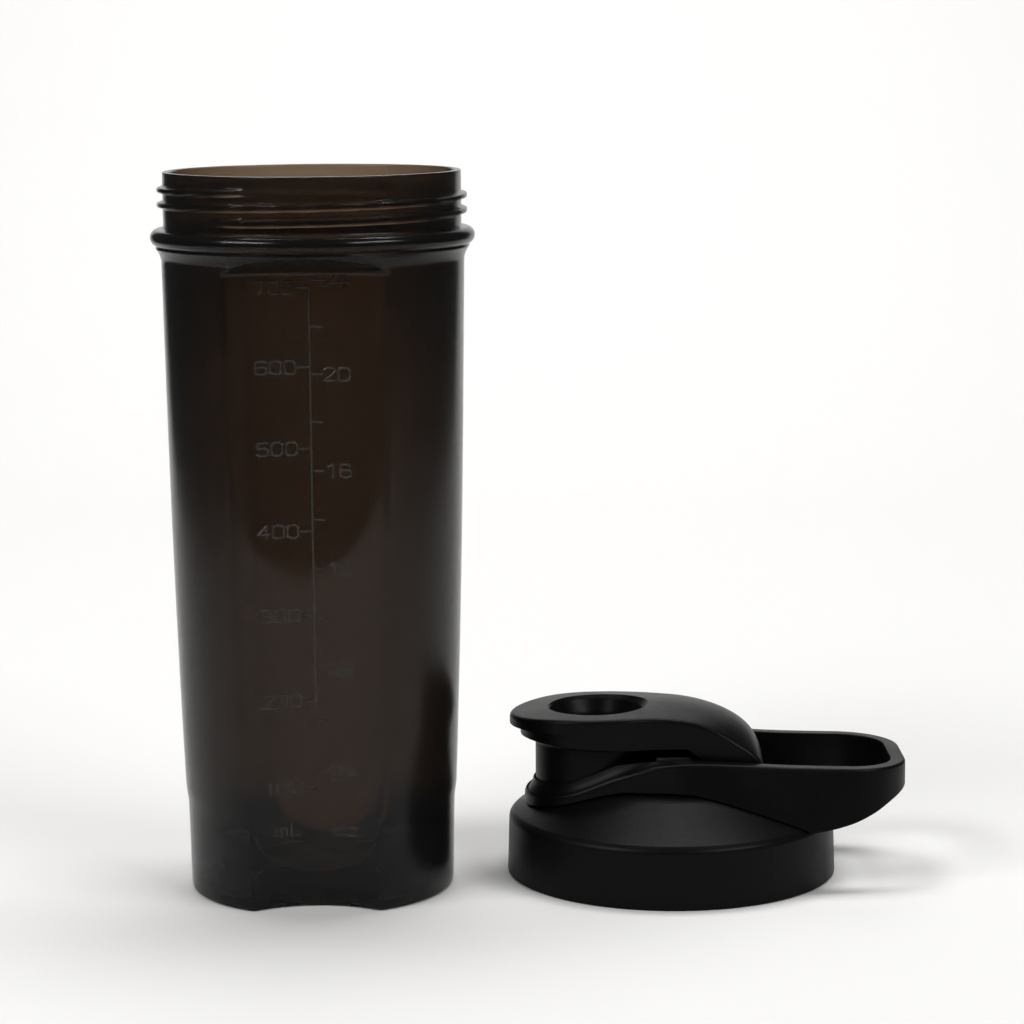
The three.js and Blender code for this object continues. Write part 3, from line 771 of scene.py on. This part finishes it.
def cap_crown():
    """The cap's solid above z 20, with a rounded top edge and a finely divided upper face."""
    outline = cap_outline(CAP_NOSE)
    count = len(outline)
    along = np.roll(outline, -1, 0) - np.roll(outline, 1, 0)
    inward = np.stack([-along[:, 1], along[:, 0]], 1) / np.linalg.norm(along, axis=1)[:, None]
    rings = [np.column_stack([outline, np.full(count, 20.0)])]
    for degrees in (0, 18, 36, 54, 72, 90):
        a = math.radians(degrees)
        ring = outline + inward * CAP_EDGE * (1 - math.cos(a))
        top = cap_top(ring[:, 0], ring[:, 1])
        rings.append(np.column_stack([ring, np.maximum(top - CAP_EDGE * (1 - math.sin(a)), 21)]))
    inner = rings[-1][:, :2]
    spacing = 0.9
    grid = []
    for x in np.arange(inner[:, 0].min(), inner[:, 0].max(), spacing):
        for y in np.arange(inner[:, 1].min(), inner[:, 1].max(), spacing):
            grid.append((x, y))
    grid = np.array(grid)
    grid = grid[inside_line(grid, inner, 0.5)]
    points = [Vector(p) for p in np.concatenate([inner, grid])]
    edges = [(k, (k + 1) % count) for k in range(count)]
    flat, _, faces, *_ = delaunay_2d_cdt(points, edges, [], 1, 1e-6)
    flat = np.array([tuple(p) for p in flat])
    top = np.column_stack([flat, cap_top(flat[:, 0], flat[:, 1])])
    vertices = np.concatenate([*rings[:-1], top])
    first = (len(rings) - 1) * count
    sides = strips(len(rings), count, False)
    cover = [tuple(first + i for i in face) for face in faces]
    return new_object("cap_crown", vertices, sides + cover + [tuple(range(count))[::-1]], LID)


def inside_line(points, line, margin):
    """Which points lie inside a closed line, and at least margin away from it."""
    ahead = np.roll(line, -1, 0)
    crossings = np.zeros(len(points), int)
    nearest = np.full(len(points), 1e9)
    for (x0, y0), (x1, y1) in zip(line, ahead):
        spans = (y0 > points[:, 1]) != (y1 > points[:, 1])
        if y1 != y0:
            cross = x0 + (points[:, 1] - y0) * (x1 - x0) / (y1 - y0)
            crossings += spans & (points[:, 0] < cross)
        nearest = np.minimum(nearest, np.hypot(points[:, 0] - x0, points[:, 1] - y0))
    return (crossings % 2 == 1) & (nearest > margin)


def widened(name, outline, half):
    """A solid of that side view (x, z), across the lid from -half to half."""
    rings = [[(x, y, z) for x, z in outline] for y in (-half, half)]
    return loft(name, rings, LID)


def cap_side():
    """Side view of the cap: its skirt deepens towards the arm, and the barrel closes the rear."""
    front = SPOUT_X - CAP_NOSE - 1
    side = rounded([
        (front, CAP_FRONT_BOTTOM),
        (SPOUT_X - CAP_RIM + 2, CAP_FRONT_BOTTOM, 4),
        (-15, CAP_BOTTOM, 20),
        (ARM_END, CAP_BOTTOM, 0.8),
        (ARM_END + 2, CAP_BOTTOM - 1.6, 0.8),
        (ARM_END + 5, CAP_BOTTOM - 3.4),
    ], 10)
    side = [tuple(point) for point in side] + arc(HINGE_X, HINGE_Z, BARREL, 215, 360, 48)
    return side + [(HINGE_X + BARREL, HINGE_Z), (HINGE_X + BARREL, 60), (front, 60)]


def prism(name, outline, bottom, top):
    """A solid with that plan between two heights."""
    return loft(name, [[(x, y, z) for x, y in outline] for z in (bottom, top)], LID)


def under_ledge():
    """What is cut away under the thin ledge at the cap's nose, around its skirt."""
    rear = SPOUT_X - 1
    around = [(-60, -30), (rear, -30), (rear, 30), (-60, 30)]
    block = prism("around", around, 10, CAP_LEDGE)
    return combine(block, prism("skirt", cap_outline(CAP_RIM), 5, 50), "DIFFERENCE")


def make_cap(material):
    spout = LID + Vector((SPOUT_X, 0, 0)) * MM
    cap = cap_crown()
    combine(cap, widened("side", cap_side(), 30), "INTERSECT")
    combine(cap, under_ledge(), "DIFFERENCE")
    inside = SPOUT_LIP + 0.4
    hollow = rounded([(1, 30), (inside, 30), (inside, CAP_UNDER, 1), (1, CAP_UNDER)])
    hollow = turned_shell("over", [(0, 30), *map(tuple, hollow), (0, CAP_UNDER)], 144, spout)
    combine(cap, hollow, "DIFFERENCE")
    channel = [(SPOUT_X + 10, 30), (ARM_END + 3, 30), (ARM_END + 3, CAP_UNDER + 1.2)]
    channel += [(SPOUT_X + 22, CAP_UNDER + 1.2), (SPOUT_X + 10, CAP_UNDER - 0.5)]
    narrowest = min(half for _, half in CAP_HALF)
    combine(cap, widened("channel", channel, narrowest - CAP_WALL), "DIFFERENCE")
    plug_top = CAP_UNDER + 1
    plug = rounded([
        (1, PLUG_BOTTOM),
        (PLUG_FLANGE, PLUG_BOTTOM, 0.5),
        (PLUG_FLANGE, PLUG_BOTTOM + 0.7),
        (PLUG_WAIST, PLUG_BOTTOM + 0.7),
        (PLUG_WAIST, plug_top),
        (1, plug_top),
    ])
    plug = turned_shell("plug", [(0, PLUG_BOTTOM), *map(tuple, plug), (0, plug_top)], 144, spout)
    combine(cap, plug, "UNION")
    recess = rounded([
        (1, RECESS_FLOOR),
        (10.2, RECESS_FLOOR, 2),
        (11.4, 44, 5),
        (13.3, 47.4, 1.2),
        (15.6, 49.6),
        (15.6, 52),
        (1, 52),
    ], 6)
    recess = turned_shell("recess", [(0, RECESS_FLOOR), *map(tuple, recess), (0, 52)], 144, spout)
    combine(cap, recess, "DIFFERENCE")
    combine(cap, pin_rod("bore", PIN + GAP, LOOP_HALF), "DIFFERENCE")
    soften(cap, 34)
    return finish_piece(cap, "flap", "cap_plastic", material, "flip_cap")


# ---------------------------------------------------------------- small pieces
def make_pin(material):
    pin = soften(pin_rod("pin", PIN, PIN_REACH))
    return finish_piece(pin, "lid", "pin_plastic", material, "hinge_pin")


def make_seal(material):
    profile = rounded([
        (12.6, 41.6),
        (12.25, 41.6, 0.15),
        (12.25, 37.2, 0.15),
        (13.2, 37.2, 0.5),
        (13.5, 38.4, 0.4),
        (13.1, 39.2, 0.3),
        (13.8, 40.4, 0.4),
        (13.9, 41.6, 0.4),
        (12.9, 41.6),
    ], 15)
    seal = turned_ring("seal", profile, 144, LID + Vector((SPOUT_X, 0, 0)) * MM)
    soften(seal)
    return finish_piece(seal, "flap", "silicone", material, "spout_seal")


def make_gasket(material):
    top = SKIRT_ROOF - GAP
    profile = rounded([
        (40, top),
        (39.4, top, 0.1),
        (39.4, 13.8, 0.6),
        (41.5, 13.8, 0.6),
        (41.5, top, 0.1),
        (41, top),
    ])
    gasket = soften(turned_ring("gasket", profile, 240, LID))
    return finish_piece(gasket, "lid", "silicone", material, "lid_gasket")


def ring_opening(name, inner, outer, middle, half):
    """A prism through the strainer: a piece of a ring between two radii."""
    outline = []
    steps = 12
    for k in range(steps + 1):
        a = middle - half + 2 * half * k / steps
        outline.append((outer * math.cos(a), outer * math.sin(a)))
    for k in range(steps + 1):
        a = middle + half - 2 * half * k / steps
        outline.append((inner * math.cos(a), inner * math.sin(a)))
    rings = [[(x, y, z) for x, y in outline] for z in (GRID_BOTTOM - 1, GRID_BOTTOM + GRID_PLATE + 1)]
    return loft(name, rings, LID)


def make_grid(material):
    top = SKIRT_ROOF - GAP
    plate = GRID_BOTTOM + GRID_PLATE
    profile = rounded([
        (1, GRID_BOTTOM),
        (GRID_OUTER, GRID_BOTTOM, 0.6),
        (GRID_OUTER, top, 0.4),
        (GRID_OUTER - 1.5, top, 0.4),
        (GRID_OUTER - 1.5, plate, 0.8),
        (1, plate),
    ], 15)
    grid = turned_shell("strainer", [(0, GRID_BOTTOM), *map(tuple, profile), (0, plate)], 240, LID)
    for inner, outer, count in GRID_ROWS:
        for k in range(count):
            half = math.pi / count - 2 / (inner + outer)
            middle = k * 2 * math.pi / count
            combine(grid, ring_opening("hole", inner, outer, middle, half), "DIFFERENCE")
    soften(grid)
    return finish_piece(grid, "lid", "grid_plastic", material, "mixing_grid")


# ---------------------------------------------------------------- materials
SPECULAR = 0.13                  # weaker reflection than bare plastic has, which keeps the blacks deep
SMOKE_IOR = 1.33                 # lower than the real plastic's, which keeps the mirrored floor faint
SMOKE = (0.352, 0.23, 0.085)     # colour that the tint lets through, and how dense the tint is
SMOKE_DENSITY = 1280
FROST_SIDES = (0.016, 0.026)     # metres from the cup's middle over which clear turns to frosted
FROST_NECK = (0.172, 0.178)      # the same in height, below the neck
NECK_FROST = 0.6                 # frosting of the neck, as a share of that of the sides


def link(tree, source, output, target, socket):
    tree.links.new(source.outputs[output], target.inputs[socket])


def object_points(tree, stretch=(1, 1, 1)):
    """Places on the piece in metres, stretched along its axes."""
    where = tree.nodes.new("ShaderNodeTexCoord")
    mapping = tree.nodes.new("ShaderNodeMapping")
    mapping.inputs["Scale"].default_value = stretch
    link(tree, where, "Object", mapping, "Vector")
    return mapping


def noise(tree, scale, detail=4, roughness=0.55, stretch=(1, 1, 1)):
    """Noise on the piece: scale is its number of features per metre."""
    texture = tree.nodes.new("ShaderNodeTexNoise")
    texture.inputs["Scale"].default_value = scale
    texture.inputs["Detail"].default_value = detail
    texture.inputs["Roughness"].default_value = roughness
    link(tree, object_points(tree, stretch), "Vector", texture, "Vector")
    return texture


def mapped(tree, source, output, low, high, to_low, to_high):
    """The value of a texture between low and high, as a value between to_low and to_high."""
    node = tree.nodes.new("ShaderNodeMapRange")
    node.inputs["From Min"].default_value = low
    node.inputs["From Max"].default_value = high
    node.inputs["To Min"].default_value = to_low
    node.inputs["To Max"].default_value = to_high
    link(tree, source, output, node, "Value")
    return node


def bump(tree, source, output, distance, strength, before=None):
    node = tree.nodes.new("ShaderNodeBump")
    node.inputs["Distance"].default_value = distance
    node.inputs["Strength"].default_value = strength
    link(tree, source, output, node, "Height")
    if before:
        link(tree, before, "Normal", node, "Normal")
    return node


def maths(tree, operation, first, second):
    """A maths node between two values, each a number, a node or (node, output)."""
    node = tree.nodes.new("ShaderNodeMath")
    node.operation = operation
    for i, value in enumerate((first, second)):
        if isinstance(value, tuple):
            link(tree, *value, node, i)
        elif isinstance(value, bpy.types.Node):
            link(tree, value, "Value", node, i)
        else:
            node.inputs[i].default_value = value
    return node


def new_material(name):
    material = bpy.data.materials.new(name)
    material.use_nodes = True
    tree = material.node_tree
    return material, tree, tree.nodes["Principled BSDF"]


def moulded_plastic(name, colour, rough, grain):
    """Satin moulded plastic: fine spark-eroded grain, cloudy gloss, faint scuffs and paler worn edges."""
    material, tree, shader = new_material(name)
    cloud = noise(tree, 55, 3)
    scuffs = noise(tree, 420, 6, 0.7, (1, 1, 0.25))
    fine = noise(tree, 2600, 3)
    specks = tree.nodes.new("ShaderNodeTexVoronoi")
    specks.inputs["Scale"].default_value = 1500
    link(tree, object_points(tree), "Vector", specks, "Vector")

    geometry = tree.nodes.new("ShaderNodeNewGeometry")
    worn = mapped(tree, geometry, "Pointiness", 0.57, 0.72, 0, 0.35)
    ramp = tree.nodes.new("ShaderNodeMix")
    ramp.data_type = "RGBA"
    ramp.inputs["A"].default_value = (*(c * 0.86 for c in colour), 1)
    ramp.inputs["B"].default_value = (*(c * 1.16 for c in colour), 1)
    link(tree, cloud, "Fac", ramp, "Factor")
    pale = tree.nodes.new("ShaderNodeMix")
    pale.data_type = "RGBA"
    pale.inputs["B"].default_value = (*(min(1, c * 2.2 + 0.01) for c in colour), 1)
    link(tree, worn, "Result", pale, "Factor")
    tree.links.new(ramp.outputs["Result"], pale.inputs["A"])
    tree.links.new(pale.outputs["Result"], shader.inputs["Base Color"])

    base = mapped(tree, cloud, "Fac", 0.3, 0.7, rough - 0.03, rough + 0.05)
    marks = mapped(tree, scuffs, "Fac", 0.52, 0.72, 0, 0.06)
    total = maths(tree, "ADD", (base, "Result"), (marks, "Result"))
    link(tree, total, "Value", shader, "Roughness")

    texture = bump(tree, specks, "Distance", grain, 0.5)
    texture = bump(tree, fine, "Fac", grain, 0.6, texture)
    link(tree, texture, "Normal", shader, "Normal")
    shader.inputs["Specular IOR Level"].default_value = SPECULAR
    return material


def smoke_plastic(name, colour, clear, rough, frost):
    """Clear plastic tinted smoke brown in the mass, with glossy panels and softly frosted sides and neck."""
    material, tree, shader = new_material(name)
    # colour is white for the cup; the pale grey given for the scale's marks is in part painted highlight
    shader.inputs["Base Color"].default_value = (*colour, 1)
    shader.inputs["IOR"].default_value = SMOKE_IOR
    shader.inputs["Transmission Weight"].default_value = clear
    cloud = noise(tree, 45, 2)
    scuffs = noise(tree, 900, 4, 0.6)
    gloss = mapped(tree, cloud, "Fac", 0.35, 0.65, rough, rough + 0.02)
    worn = mapped(tree, scuffs, "Fac", 0.6, 0.75, 0, 0.03)

    where = tree.nodes.new("ShaderNodeSeparateXYZ")
    link(tree, object_points(tree), "Vector", where, 0)
    across = maths(tree, "ABSOLUTE", maths(tree, "SUBTRACT", (where, "X"), CUP.x), 0)
    sides = mapped(tree, across, "Value", *FROST_SIDES, 0, frost)
    neck = mapped(tree, where, "Z", *FROST_NECK, 0, frost * NECK_FROST)
    frosted = maths(tree, "MAXIMUM", (sides, "Result"), (neck, "Result"))
    total = maths(tree, "ADD", maths(tree, "ADD", (gloss, "Result"), (worn, "Result")), frosted)
    link(tree, total, "Value", shader, "Roughness")
    fine = bump(tree, scuffs, "Fac", 0.000004, 0.5)
    link(tree, fine, "Normal", shader, "Normal")
    tint = tree.nodes.new("ShaderNodeVolumeAbsorption")
    tint.inputs["Color"].default_value = (*SMOKE, 1)
    tint.inputs["Density"].default_value = SMOKE_DENSITY
    link(tree, tint, "Volume", tree.nodes["Material Output"], "Volume")
    return material


def floor_material():
    """Matt off-white sweep with a very fine tooth."""
    material, tree, shader = new_material("studio_floor")
    tooth = noise(tree, 900, 4)
    shade = tree.nodes.new("ShaderNodeMix")
    shade.data_type = "RGBA"
    shade.inputs["A"].default_value = (0.80, 0.795, 0.785, 1)
    shade.inputs["B"].default_value = (0.83, 0.825, 0.815, 1)
    link(tree, tooth, "Fac", shade, "Factor")
    tree.links.new(shade.outputs["Result"], shader.inputs["Base Color"])
    shader.inputs["Roughness"].default_value = 0.85
    shader.inputs["Specular IOR Level"].default_value = 0.2
    return material


# ---------------------------------------------------------------- stage, light and camera
def make_stage():
    """A seamless floor that curves up into a backdrop, narrow so that little of it mirrors in the cup."""
    half_width = 620
    front, level_end, bend_start = -480, 500, 700
    bend = 700
    profile = [(front, 0), (level_end, 0)]
    for degrees in range(0, 91, 6):
        a = math.radians(degrees)
        profile.append((bend_start + bend * math.sin(a), bend * (1 - math.cos(a))))
    profile.append((bend_start + bend, 2200))
    vertices = [(x, y, z) for y, z in profile for x in (-half_width, half_width)]
    faces = [(2 * i, 2 * i + 1, 2 * i + 3, 2 * i + 2) for i in range(len(profile) - 1)]
    stage = new_object("studio_sweep", vertices, faces)
    stage.data.materials.append(floor_material())
    soften(stage, 60)


def area_light(name, place, target, size, power):
    """A white softbox: place, target and size in metres, power in watts."""
    data = bpy.data.lights.new(name, "AREA")
    data.shape = "RECTANGLE"
    data.size, data.size_y = size
    data.energy = power
    light = bpy.data.objects.new(name, data)
    light.location = place
    light.rotation_euler = (Vector(target) - Vector(place)).to_track_quat("-Z", "Y").to_euler()
    bpy.context.scene.collection.objects.link(light)


def make_lights():
    area_light("softbox_left", (-0.95, -0.75, 1.0), (0, 0, 0.05), (0.85, 0.4), 11)
    area_light("softbox_right", (0.9, -0.8, 0.95), (0, 0, 0.05), (0.85, 0.4), 9)
    area_light("backdrop", (0, 0.45, 1.9), (0, 1.3, 0.35), (1.6, 0.8), 32)
    world = bpy.data.worlds.new("studio")
    world.use_nodes = True
    background = world.node_tree.nodes["Background"]
    background.inputs["Color"].default_value = (1, 0.99, 0.975, 1)
    background.inputs["Strength"].default_value = 0.06
    bpy.context.scene.world = world


def make_camera():
    """A long lens a little above the set, 0.9 m in front of it."""
    offset = Vector((54.88, -893.0, 242.8))
    down = math.radians(8.672)
    roll = math.radians(-0.416)
    data = bpy.data.cameras.new("camera")
    data.lens = 112.6
    data.sensor_width = 36
    data.clip_start = 0.01
    camera = bpy.data.objects.new("camera", data)
    turn = Matrix.Rotation(math.pi / 2 - down, 4, "X") @ Matrix.Rotation(roll, 4, "Z")
    camera.matrix_world = Matrix.Translation(CUP + offset * MM) @ turn
    bpy.context.scene.collection.objects.link(camera)
    bpy.context.scene.camera = camera


BLACK = (0.0045, 0.0045, 0.005)
SOFT_BLACK = (0.012, 0.012, 0.013)
COARSE_GRAIN = 0.00003           # depth of the surface grain, in metres
MEDIUM_GRAIN = 0.00002
FINE_GRAIN = 0.00001

make_cup(smoke_plastic("smoke_plastic", (1, 1, 1), 0.991, 0.04, 0.16))
# The scale's marks get a pale grey, partly diffuse colour: partly a light frosting of the raised marks,
# partly painted highlight standing in for the light that their bevels catch.
make_scale(smoke_plastic("smoke_marks_painted_highlight", (0.22, 0.2, 0.175), 0.76, 0.2, 0))
make_lid(moulded_plastic("lid_black", BLACK, 0.38, COARSE_GRAIN))
make_loop(moulded_plastic("loop_black", BLACK, 0.36, COARSE_GRAIN))
make_cap(moulded_plastic("cap_black", BLACK, 0.34, COARSE_GRAIN))
make_pin(moulded_plastic("pin_black", SOFT_BLACK, 0.3, FINE_GRAIN))
rubber = moulded_plastic("silicone_black", (0.02, 0.02, 0.021), 0.6, MEDIUM_GRAIN)
make_seal(rubber)
make_gasket(rubber)
make_grid(moulded_plastic("grid_black", SOFT_BLACK, 0.45, COARSE_GRAIN))
make_stage()
make_lights()
make_camera()

view = bpy.context.scene.view_settings
view.view_transform = "Standard"
view.look = "None"
view.exposure = 0
view.gamma = 0.87
